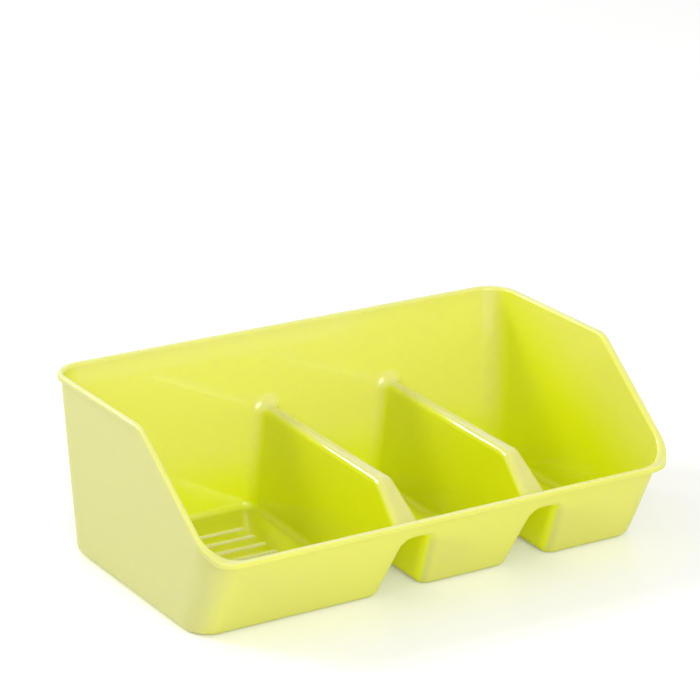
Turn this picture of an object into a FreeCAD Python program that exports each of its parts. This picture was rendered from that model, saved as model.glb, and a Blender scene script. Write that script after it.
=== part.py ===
import FreeCAD, Part
import math
import os
from FreeCAD import Vector

# Driving dimensions, in millimetres and degrees
# The tray stands on z = 0, its low front faces -Y, and x = y = 0 is the middle of its outline.
length = 330.0
width = 200.0
backHeight = 115.0
frontHeight = 57.0

# Walls, each leaning outward as it rises so that trays nest
wall = 2.0
floorThickness = 2.2
sideDraft = 2.5
backDraft = 4.5
frontLean = 27.0
backCornerRadius = 18.0
frontCornerRadiusAtBase = 18.0
frontCornerRadiusAtRim = 25.0
baseFillet = 7.0

# Rim: a lip with a short skirt, level round the back and falling to the low front
lipOverhang = 2.25
skirtHeight = 3.3
rimCornerRadius = 21.0
rimFrontLedge = 5.0
rimSlopeRun = 78.0
rimKneeRadius = 14.0
rimFootRadius = 6.0
lipOuterRound = 1.3
lipInnerRound = 2.3
skirtRound = 0.6

# Dividers: hollow folds, open underneath and through an arch in the front wall
# Each foot is measured from the divider's line, at the front and at the back of the outline.
dividerLines = [-18.0, 73.0]
leftFoot = (17.0, 11.5)
rightFoot = (14.6, 18.1)
dividerDraft = 8.75
crestHeight = 66.0
crestFrontHeight = 43.7
crestFrontLedge = 9.2
crestSlopeRun = 30.1
crestKneeRadius = 10.0
crestFootRadius = 5.0
crestRound = 5.0
frontJunctionFillet = 7.0
backJunctionFillet = 8.0

# Drain slots in the floor of each bin
slotWidth = 4.5
slotPitch = 13.5
slotRows = 8
slotEndMargin = 17.2

# How far a cutting shape runs past what it cuts
overrun = 20.0
dividerOverrun = 4.0

# How closely an edge is matched to a surface, and the direction part above which it counts as upright
matchTolerance = 0.01
uprightPart = 0.5


def slopeOf(degrees):
    return math.tan(math.radians(degrees))


def sideX(z, inset):
    """Half width of the tray along X at height z, moved in by an inset square to the wall."""
    outside = length / 2 - lipOverhang - (backHeight - z) * slopeOf(sideDraft)
    return outside - inset / math.cos(math.radians(sideDraft))


def backY(z, inset):
    outside = width / 2 - lipOverhang - (backHeight - z) * slopeOf(backDraft)
    return outside - inset / math.cos(math.radians(backDraft))


def frontY(z, inset):
    outside = -width / 2 + lipOverhang + (frontHeight - z) * slopeOf(frontLean)
    return outside + inset / math.cos(math.radians(frontLean))


def dividerSide(foot, y, z, inset):
    """How far one side of a divider stands from the divider's line, moved in by an inset square to it."""
    taper = (foot[1] - foot[0]) / width
    outside = foot[0] + taper * (y + width / 2) - z * slopeOf(dividerDraft)
    return outside - inset * math.hypot(1, taper, slopeOf(dividerDraft))


def roundedFace(corners):
    """A flat face through corners of (point, radius), with an arc at each corner that has a radius."""
    edges = []
    firstStart = None
    lastEnd = None
    for index, (point, radius) in enumerate(corners):
        toLast = (corners[index - 1][0] - point).normalize()
        toNext = (corners[(index + 1) % len(corners)][0] - point).normalize()
        half = toLast.getAngle(toNext) / 2
        start = point + toLast * (radius / math.tan(half))
        end = point + toNext * (radius / math.tan(half))
        if lastEnd is None:
            firstStart = start
        else:
            edges.append(Part.makeLine(lastEnd, start))
        if radius > 0:
            middle = point + (toLast + toNext).normalize() * (radius / math.sin(half) - radius)
            edges.append(Part.Arc(start, middle, end).toShape())
        lastEnd = end
    edges.append(Part.makeLine(lastEnd, firstStart))
    return Part.Face(Part.Wire(edges))


def fallingLine(high, low, kneeRadius, footRadius, depth):
    """Corners of a line that is level, falls forward and is level again, moved down by a depth.

    high and low are the (y, z) corners before the move. Each result is (y, z, radius).
    """
    fall = math.atan2(high[1] - low[1], high[0] - low[0])
    shift = depth * math.tan(fall / 2)
    knee = (high[0] + shift, high[1] - depth, kneeRadius - depth)
    foot = (low[0] + shift, low[1] - depth, footRadius + depth)
    return knee, foot


def extrudedAcross(outline, halfSpan):
    """A prism along X from an outline of (y, z, radius) corners."""
    corners = [(Vector(-halfSpan, y, z), radius) for y, z, radius in outline]
    return roundedFace(corners).extrude(Vector(2 * halfSpan, 0, 0))


def frustum(bottomCorners, topCorners):
    """A closed body between two rectangles of four points each, both anticlockwise from above."""
    faces = [
        Part.Face(Part.makePolygon(bottomCorners[::-1] + bottomCorners[-1:])),
        Part.Face(Part.makePolygon(topCorners + topCorners[:1])),
    ]
    for index in range(4):
        following = (index + 1) % 4
        ring = [bottomCorners[index], bottomCorners[following], topCorners[following], topCorners[index]]
        faces.append(Part.Face(Part.makePolygon(ring + ring[:1])))
    return Part.makeSolid(Part.makeShell(faces))


def edgesWhere(shape, test):
    """Edges whose middle point and direction there pass a test."""
    chosen = []
    for edge in shape.Edges:
        if edge.Length < matchTolerance:
            continue
        middle = (edge.FirstParameter + edge.LastParameter) / 2
        if test(edge.valueAt(middle), edge.tangentAt(middle)):
            chosen.append(edge)
    return chosen


def isUpright(along):
    return abs(along.z) > uprightPart


def filletTapered(body, edge, radiusAt):
    """Rounds one upright edge with a radius that depends on the height."""
    startRadius = radiusAt(edge.valueAt(edge.FirstParameter).z)
    endRadius = radiusAt(edge.valueAt(edge.LastParameter).z)
    return body.makeFillet(startRadius, endRadius, [edge])


def draftedBody(inset, bottom):
    """The outside of the tray moved in by an inset: four leaning walls, with rounded corners between."""
    def corners(z):
        x = sideX(z, inset)
        return [
            Vector(-x, frontY(z, inset), z),
            Vector(x, frontY(z, inset), z),
            Vector(x, backY(z, inset), z),
            Vector(-x, backY(z, inset), z),
        ]

    def frontRadius(z):
        change = (frontCornerRadiusAtBase - frontCornerRadiusAtRim) / frontHeight
        return frontCornerRadiusAtBase - change * z - inset

    body = frustum(corners(bottom), corners(backHeight + overrun))
    backUprights = edgesWhere(body, lambda point, along: isUpright(along) and point.y > 0)
    body = body.makeFillet(backCornerRadius - inset, backUprights)
    for side in (-1, 1):
        sideUprights = edgesWhere(
            body,
            lambda point, along: isUpright(along) and point.y < 0 and point.x * side > 0,
        )
        corner = max(sideUprights, key=lambda edge: abs(edge.CenterOfMass.x))
        body = filletTapered(body, corner, frontRadius)
    return body


def dividerBody(line, inset):
    """The outside of one divider moved in by an inset, from past the front wall to past the back wall."""
    bottom = -overrun
    front = -width / 2 - overrun
    rear = width / 2 + dividerOverrun
    low = (frontY(crestFrontHeight, wall) + crestFrontLedge, crestFrontHeight)
    high = (low[0] + crestSlopeRun, crestHeight)
    knee, foot = fallingLine(high, low, crestKneeRadius, crestFootRadius, inset)
    outline = [
        (front, bottom, 0),
        (rear, bottom, 0),
        (rear, knee[1], 0),
        knee,
        foot,
        (front, foot[1], 0),
    ]

    def corners(z):
        return [
            Vector(line - dividerSide(leftFoot, front, z, inset), front, z),
            Vector(line + dividerSide(rightFoot, front, z, inset), front, z),
            Vector(line + dividerSide(rightFoot, rear, z, inset), rear, z),
            Vector(line - dividerSide(leftFoot, rear, z, inset), rear, z),
        ]

    body = frustum(corners(bottom), corners(crestHeight)).common(extrudedAcross(outline, length))
    crestEdges = edgesWhere(
        body,
        lambda point, along: abs(along.x) < uprightPart
        and point.z > foot[1] - matchTolerance
        and front + matchTolerance < point.y < rear - matchTolerance,
    )
    return body.makeFillet(crestRound - inset, crestEdges)


def filletBase(body, bottom, radius):
    edges = edgesWhere(
        body,
        lambda point, along: abs(point.z - bottom) < matchTolerance and abs(along.z) < matchTolerance,
    )
    return body.makeFillet(radius, edges)


def filletJunctions(body, inset, bottom, frontRadius, backRadius):
    """Rounds the edges where the dividers meet the front and back walls, up one side, over and down."""
    reach = max(leftFoot + rightFoot)
    for wallY, radius in ((frontY, frontRadius), (backY, backRadius)):
        junctions = edgesWhere(
            body,
            lambda point, along: abs(point.y - wallY(point.z, inset)) < matchTolerance
            and any(abs(point.x - line) < reach for line in dividerLines)
            and bottom + matchTolerance < point.z < crestHeight + matchTolerance,
        )
        body = body.makeFillet(radius, junctions)
    return body


def outerBody():
    """The outside of the tray, running on past the rim, with the tunnels under the dividers."""
    body = draftedBody(0, 0)
    for line in dividerLines:
        body = body.cut(dividerBody(line, wall))
    body = filletJunctions(body, 0, 0, frontJunctionFillet + wall, backJunctionFillet + wall)
    return filletBase(body, 0, baseFillet)


def binSpace():
    """The space inside the tray: three bins that join above the dividers."""
    body = draftedBody(wall, floorThickness)
    for line in dividerLines:
        body = body.cut(dividerBody(line, 0))
    body = filletJunctions(body, wall, floorThickness, frontJunctionFillet, backJunctionFillet)
    return filletBase(body, floorThickness, baseFillet - wall)


def rimLine(depth):
    """The rim's falling line seen from the side, moved down by a depth."""
    low = (-width / 2 + rimFrontLedge, frontHeight)
    high = (low[0] + rimSlopeRun, backHeight)
    return fallingLine(high, low, rimKneeRadius, rimFootRadius, depth)


def spaceAboveRimLine(depth):
    knee, foot = rimLine(depth)
    reach = width
    top = 2 * backHeight
    outline = [(reach, knee[1], 0), knee, foot, (-reach, foot[1], 0), (-reach, top, 0), (reach, top, 0)]
    return extrudedAcross(outline, length)


def rimOutline():
    """The outline of the lip, from the base to past the rim."""
    def corners(z):
        x = length / 2 - (backHeight - z) * slopeOf(sideDraft)
        y = width / 2
        return [Vector(-x, -y, z), Vector(x, -y, z), Vector(x, y, z), Vector(-x, y, z)]

    body = frustum(corners(0), corners(backHeight + overrun))
    uprights = edgesWhere(body, lambda point, along: isUpright(along))
    return body.makeFillet(rimCornerRadius, uprights)


def edgesOnBoth(body, first, second):
    """Edges of a body that lie on the skins of two other bodies."""
    skins = [Part.makeCompound(first.Faces), Part.makeCompound(second.Faces)]

    def onBoth(point, along):
        return all(skin.distToShape(Part.Vertex(point))[0] < matchTolerance for skin in skins)

    return edgesWhere(body, onBoth)


def slotCutter(startX, endX, y):
    """A round-ended slot along X, through the floor."""
    radius = slotWidth / 2
    left = Vector(startX + radius, y, -overrun)
    right = Vector(endX - radius, y, -overrun)
    up = Vector(0, radius, 0)
    edges = [
        Part.makeLine(left - up, right - up),
        Part.Arc(right - up, right + Vector(radius, 0, 0), right + up).toShape(),
        Part.makeLine(right + up, left + up),
        Part.Arc(left + up, left - Vector(radius, 0, 0), left - up).toShape(),
    ]
    return Part.Face(Part.Wire(edges)).extrude(Vector(0, 0, 2 * overrun))


def drainSlots():
    """Rows of slots in each bin, centred between its front and back walls."""
    edgesX = [-sideX(floorThickness, wall)]
    for line in dividerLines:
        edgesX += [line - leftFoot[0], line + rightFoot[1]]
    edgesX.append(sideX(floorThickness, wall))
    middleY = (frontY(floorThickness, wall) + backY(floorThickness, wall)) / 2
    slots = []
    for leftX, rightX in zip(edgesX[0::2], edgesX[1::2]):
        for row in range(slotRows):
            y = middleY + (row - (slotRows - 1) / 2) * slotPitch
            slots.append(slotCutter(leftX + slotEndMargin, rightX - slotEndMargin, y))
    return slots


def makeTray():
    outline = rimOutline()
    aboveRim = spaceAboveRimLine(0)
    aboveSkirt = spaceAboveRimLine(skirtHeight)
    inside = binSpace()
    body = outerBody().fuse(outline.common(aboveSkirt))
    body = body.cut(aboveRim).cut(inside)
    body = body.makeFillet(lipOuterRound, edgesOnBoth(body, aboveRim, outline))
    body = body.makeFillet(lipInnerRound, edgesOnBoth(body, aboveRim, inside))
    body = body.makeFillet(skirtRound, edgesOnBoth(body, aboveSkirt, outline))
    return body.cut(drainSlots())


os.makedirs("parts", exist_ok=True)
tray = makeTray()
tray.exportStep("parts/tray.step")
box = tray.BoundBox
print("tray", tray.isValid(), len(tray.Solids), round(tray.Volume), box)
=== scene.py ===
import bpy
import math
from mathutils import Matrix, Vector

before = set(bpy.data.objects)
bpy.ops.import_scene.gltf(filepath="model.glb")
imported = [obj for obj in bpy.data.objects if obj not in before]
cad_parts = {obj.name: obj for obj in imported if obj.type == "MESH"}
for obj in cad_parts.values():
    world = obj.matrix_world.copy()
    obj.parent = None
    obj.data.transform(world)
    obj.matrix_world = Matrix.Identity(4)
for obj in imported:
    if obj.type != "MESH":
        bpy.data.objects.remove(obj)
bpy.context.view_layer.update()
print("frame loaded:", sorted(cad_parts))


class Wire:
    # wraps one socket, so that shader maths reads as an expression

    def __init__(self, shader, socket):
        self.shader = shader
        self.socket = socket

    def __add__(self, other):
        return self.shader.math("ADD", self, other)

    def __radd__(self, other):
        return self.shader.math("ADD", other, self)

    def __sub__(self, other):
        return self.shader.math("SUBTRACT", self, other)

    def __rsub__(self, other):
        return self.shader.math("SUBTRACT", other, self)

    def __mul__(self, other):
        return self.shader.math("MULTIPLY", self, other)

    def __rmul__(self, other):
        return self.shader.math("MULTIPLY", other, self)

    def __truediv__(self, other):
        return self.shader.math("DIVIDE", self, other)


class Shader:
    # the nodes of one material or world: an empty tree, and one method that adds any node

    def __init__(self, owner):
        owner.use_nodes = True
        self.owner = owner
        self.tree = owner.node_tree
        self.tree.nodes.clear()

    def node(self, kind, settings, values, output=0):
        made = self.tree.nodes.new(kind)
        for name, value in settings.items():
            setattr(made, name, value)
        pairs = values.items() if isinstance(values, dict) else enumerate(values)
        for key, value in pairs:
            if isinstance(value, Wire):
                self.tree.links.new(value.socket, made.inputs[key])
            else:
                made.inputs[key].default_value = value
        return Wire(self, made.outputs[output]) if made.outputs else made

    def math(self, operation, *values):
        return self.node("ShaderNodeMath", {"operation": operation}, values)

    def parts(self, vector):
        return [self.node("ShaderNodeSeparateXYZ", {}, [vector], axis) for axis in "XYZ"]

    def ramp(self, value, span):
        # 0 at the span's first number, 1 at its second, smooth between
        values = {"Value": value, "From Min": span[0], "From Max": span[1]}
        return self.node("ShaderNodeMapRange", {"interpolation_type": "SMOOTHSTEP"}, values)

    def mix(self, factor, first, second):
        # a Mix node has its colours in sockets 6 and 7, and the mixed colour in output 2
        return self.node("ShaderNodeMix", {"data_type": "RGBA"}, {0: factor, 6: first, 7: second}, 2)

    def noise(self, position, scale, detail):
        values = {"Vector": position, "Scale": scale, "Detail": detail}
        return self.node("ShaderNodeTexNoise", {}, values)

    def finish(self, surface, output="ShaderNodeOutputMaterial"):
        self.node(output, {}, {"Surface": surface})
        return self.owner


# Tray: lime polypropylene, glossy inside and satin outside, letting some light through, with painted
# light, highlights and glow in its colours

plastic = {
    "deepColour": (0.685, 0.745, 0.006, 1),  # the plastic's saturated colour: the inside faces outside the painted light, and the tunnels
    "insidePaintedLightColour": (0.73, 0.71, 0.168, 1),  # painted light: inside faces that look up and to the front, and the upper front of the side walls past the back wall's shadow
    "edgeHighlightColour": (0.70, 0.70, 0.25, 1),  # painted highlight on the lip, crests and the other upward edges
    "outsideColour": (0.69, 0.695, 0.148, 1),
    "outsidePaintedLightColour": (0.575, 0.575, 0.225, 1),  # painted light: the outside of the left end, lit paler
    # painted light: the pale cut walls of the drain slots
    "slotWallPaintedLightColour": (0.78, 0.80, 0.34, 1),
    # painted glow in the tunnels and on the slot walls
    "tunnelGlow": (0.085, 0.083, 0.0, 1),
    "slotGlow": (0.09, 0.09, 0.02, 1),
    "noGlow": (0, 0, 0, 1),
    "glowStrength": 1.0,
    "insideRoughness": 0.22,
    "outsideRoughness": 0.38,
    "ior": 1.49,
    "coat": 0.9,
    "coatRoughness": 0.05,
    "carriedLight": 0.75,  # share of the light that travels within the wall
    "carriedRadius": (1.0, 1.1, 0.12),  # how far it goes in red, green and blue, times the scale in metres
    "carriedScale": 0.008,
    "waveScale": 14,  # slight waves of the whole moulding
    "waveDetail": 2,
    "waveHeight": 0.0003,
    "grainScale": 900,  # fine grain of the outside
    "grainDetail": 3,
    "grainHeight": 0.00002,
    "bumpStrength": 0.6,
    "bumpDistance": 1.0,
    "halfOutline": (0.165, 0.1),
    "binCentres": (-0.095, 0.0275, 0.115),  # along x, in metres
    "binSplits": (-0.018, 0.073),  # the dividers' middles
    "viewHeight": 0.2,  # the point above a bin that its inside faces look towards
    "floorTop": 0.0023,
    "paintedLightUp": 0.4,  # how much facing up and facing the front count in the painted light on a face
    "paintedLightFront": 0.9,
    "reachSlope": 0.5,  # the painted light on the side walls reaches lower towards the front of the bins, along the shadow line of the back wall
    "reachWear": 0.8,
    "spans": {  # where each mask starts, and where it is full
        "inside": (-0.004, 0.004),
        "skin": (0.4, 0.75),
        "paintedLightTilt": (0.1, 0.8),
        "paintedLightHeight": (0.005, 0.05),
        "sideWall": (0.125, 0.145),
        "reach": (0.045, 0.11),
        "leftEnd": (0.1, 0.9),
        "upward": (0.65, 1.0),
        "upwardHeight": (0.03, 0.05),
        "steep": (0.4, 0.2),
        "litHeight": (-0.002, 0.008),
    },
    "weldDistance": 0.00001,
    "sharpAngle": 40,
}


def makePlastic():
    shader = Shader(bpy.data.materials.new("limePolypropylene"))
    position = shader.node("ShaderNodeTexCoord", {}, {}, "Object")
    normal = shader.node("ShaderNodeTexCoord", {}, {}, "Normal")
    x, y, z = shader.parts(position)
    normalX, normalY, normalZ = shader.parts(normal)
    spans = plastic["spans"]

    # inside faces look towards a point above the middle of their bin
    centres = plastic["binCentres"]
    centreX = centres[0]
    for number, split in enumerate(plastic["binSplits"]):
        step = centres[number + 1] - centres[number]
        centreX = centreX + shader.math("GREATER_THAN", x, split) * step
    facing = (centreX - x) * normalX - y * normalY + (plastic["viewHeight"] - z) * normalZ
    inside = shader.ramp(facing, spans["inside"])

    # the outer skin looks away from the tray's middle, or to the front
    halfLength, halfWidth = plastic["halfOutline"]
    outward = x * normalX / halfLength + y * normalY / halfWidth
    facingOut = shader.math("MAXIMUM", outward, -1 * normalY)
    skin = shader.ramp(facingOut, spans["skin"]) * (1 - inside)

    # painted light: the faces that look up and to the front are paler, so are the side walls above and in
    # front of the back wall's shadow line, and the upward edges carry a painted highlight
    tilt = normalZ * plastic["paintedLightUp"] - normalY * plastic["paintedLightFront"]
    upFrontPaintedLight = shader.ramp(tilt, spans["paintedLightTilt"]) * shader.ramp(z, spans["paintedLightHeight"])
    sideWall = shader.ramp(shader.math("ABSOLUTE", x), spans["sideWall"])
    reach = shader.ramp(z - y * plastic["reachSlope"], spans["reach"])
    paintedSideLight = reach * sideWall * plastic["reachWear"]
    paintedLightInside = shader.math("MAXIMUM", upFrontPaintedLight, paintedSideLight)
    # painted light: the outside faces that look to the left are paler
    paintedLightOutside = shader.ramp(-1 * normalX, spans["leftEnd"])
    # painted highlight on the upward edges: the lip and the crests
    paintedEdgeHighlight = shader.ramp(normalZ, spans["upward"]) * shader.ramp(z, spans["upwardHeight"])

    # the cut walls of the drain slots are the steep faces below the top of the floor, painted pale as
    # painted light coming through the slots
    steep = shader.ramp(shader.math("ABSOLUTE", normalZ), spans["steep"])
    slotWall = steep * shader.math("LESS_THAN", z, plastic["floorTop"])

    # painted light enters the colour here: pale open faces inside, the lit left end outside, highlighted
    # upward edges and pale slot walls
    insideColour = shader.mix(paintedLightInside, plastic["deepColour"], plastic["insidePaintedLightColour"])
    outsideColour = shader.mix(paintedLightOutside, plastic["outsideColour"], plastic["outsidePaintedLightColour"])
    tunnelColour = shader.mix(inside, plastic["deepColour"], insideColour)
    colour = shader.mix(skin, tunnelColour, outsideColour)
    colour = shader.mix(paintedEdgeHighlight, colour, plastic["edgeHighlightColour"])
    colour = shader.mix(slotWall, colour, plastic["slotWallPaintedLightColour"])

    # painted glow: emission stands in for the light that comes through the thin walls into the tunnels,
    # and out of the cut edges of the slots
    lit = (1 - inside) * (1 - skin) * shader.ramp(z, spans["litHeight"])
    glow = shader.mix(lit, plastic["noGlow"], plastic["tunnelGlow"])
    glow = shader.mix(slotWall, glow, plastic["slotGlow"])

    smoother = plastic["insideRoughness"] - plastic["outsideRoughness"]
    roughness = inside * smoother + plastic["outsideRoughness"]
    wave = shader.noise(position, plastic["waveScale"], plastic["waveDetail"])
    grain = shader.noise(position, plastic["grainScale"], plastic["grainDetail"])
    height = grain * (1 - inside) * plastic["grainHeight"] + wave * plastic["waveHeight"]
    bumped = shader.node("ShaderNodeBump", {}, {
        "Height": height,
        "Strength": plastic["bumpStrength"],
        "Distance": plastic["bumpDistance"],
    })
    surface = shader.node("ShaderNodeBsdfPrincipled", {}, {
        "Base Color": colour,
        "Roughness": roughness,
        "IOR": plastic["ior"],
        "Coat Weight": inside * plastic["coat"],
        "Coat Roughness": plastic["coatRoughness"],
        "Emission Color": glow,
        "Emission Strength": plastic["glowStrength"],
        "Subsurface Weight": plastic["carriedLight"],
        "Subsurface Radius": plastic["carriedRadius"],
        "Subsurface Scale": plastic["carriedScale"],
        "Normal": bumped,
    })
    return shader.finish(surface)


def dressTray():
    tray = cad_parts["tray"]
    tray.data.materials.clear()
    tray.data.materials.append(makePlastic())
    for face in tray.data.polygons:
        face.use_smooth = True
    weld = tray.modifiers.new("weld", "WELD")
    weld.merge_threshold = plastic["weldDistance"]
    sharp = tray.modifiers.new("sharpEdges", "EDGE_SPLIT")
    sharp.split_angle = math.radians(plastic["sharpAngle"])
    weighted = tray.modifiers.new("evenNormals", "WEIGHTED_NORMAL")
    weighted.mode = "FACE_AREA_WITH_ANGLE"
    print("tray dressed")


# Studio: a white floor with a slight polish, a pale world and three soft lamps

studio = {
    "white": (1, 1, 1, 1),
    "floorSize": 12,
    "floorColour": (0.9, 0.897, 0.89, 1),
    "floorLift": 0.175,  # what the camera sees on top of the floor's own light
    "floorRoughness": 0.2,
    "floorGloss": 0.05,
    "worldStrength": 0.68,
    "lampAim": (0, 0, 0.05),
    "lamps": {
        "key": {"place": (-1.7, 1.5, 1.6), "size": 0.7, "power": 28.5},
        "edge": {"place": (-1.05, 2.4, 1.53), "size": 0.28, "power": 5.5},
        "front": {"place": (-0.6, -2.3, 1.3), "size": 1.4, "power": 30},
    },
}


def makeFloor():
    bpy.ops.mesh.primitive_plane_add(size=studio["floorSize"], location=(0, 0, 0))
    floor = bpy.context.object
    floor.name = "floor"
    shader = Shader(bpy.data.materials.new("whiteFloor"))
    seen = shader.node("ShaderNodeLightPath", {}, {}, "Is Camera Ray")
    matte = shader.node("ShaderNodeBsdfDiffuse", {}, {"Color": studio["floorColour"]})
    shine = {"Color": studio["white"], "Roughness": studio["floorRoughness"]}
    polish = shader.node("ShaderNodeBsdfAnisotropic", {}, shine)
    table = shader.node("ShaderNodeMixShader", {}, [studio["floorGloss"], matte, polish])
    lift = shader.node("ShaderNodeEmission", {}, {"Strength": seen * studio["floorLift"]})
    lifted = shader.node("ShaderNodeAddShader", {}, [table, lift])
    floor.data.materials.append(shader.finish(lifted))
    print("floor laid")


def makeWorld():
    # white to the camera and in gloss, and paler light on everything else
    shader = Shader(bpy.data.worlds.new("studioWorld"))
    camera = shader.node("ShaderNodeLightPath", {}, {}, "Is Camera Ray")
    glossy = shader.node("ShaderNodeLightPath", {}, {}, "Is Glossy Ray")
    seen = shader.math("MAXIMUM", camera, glossy)
    strength = studio["worldStrength"] + seen * (1 - studio["worldStrength"])
    sky = {"Color": studio["white"], "Strength": strength}
    background = shader.node("ShaderNodeBackground", {}, sky)
    bpy.context.scene.world = shader.finish(background, "ShaderNodeOutputWorld")
    print("world made")


def makeLamps():
    for name, lamp in studio["lamps"].items():
        data = bpy.data.lights.new(name, "AREA")
        data.size = lamp["size"]
        data.energy = lamp["power"]
        light = bpy.data.objects.new(name, data)
        light.location = lamp["place"]
        towards = Vector(studio["lampAim"]) - Vector(lamp["place"])
        light.rotation_euler = towards.to_track_quat("-Z", "Y").to_euler()
        bpy.context.scene.collection.objects.link(light)
    print("lamps lit")


# Camera: the photograph's place, found from the tray's straight edges

view = {
    "target": (0.0024, 0.0233, 0.1196),
    "azimuth": 32.16,
    "elevation": 19.38,
    "roll": 0.71,
    "distance": 1.8482,
    "focalPixels": 3052.1,
    "imagePixels": 700,
}


def makeCamera():
    azimuth = math.radians(view["azimuth"])
    elevation = math.radians(view["elevation"])
    forward = Vector((
        math.sin(azimuth) * math.cos(elevation),
        math.cos(azimuth) * math.cos(elevation),
        -math.sin(elevation),
    ))
    level = Vector((math.cos(azimuth), -math.sin(azimuth), 0))
    turn = Matrix.Rotation(math.radians(view["roll"]), 3, -forward)
    right = turn @ level
    up = right.cross(forward)
    data = bpy.data.cameras.new("camera")
    data.lens = view["focalPixels"] / view["imagePixels"] * data.sensor_width
    camera = bpy.data.objects.new("camera", data)
    place = Vector(view["target"]) - forward * view["distance"]
    turned = Matrix((right, up, -forward)).transposed().to_4x4()
    camera.matrix_world = Matrix.Translation(place) @ turned
    bpy.context.scene.collection.objects.link(camera)
    bpy.context.scene.camera = camera
    print("camera placed")


bpy.context.scene.view_settings.view_transform = "Standard"
makeCamera()
makeFloor()
makeWorld()
makeLamps()
dressTray()
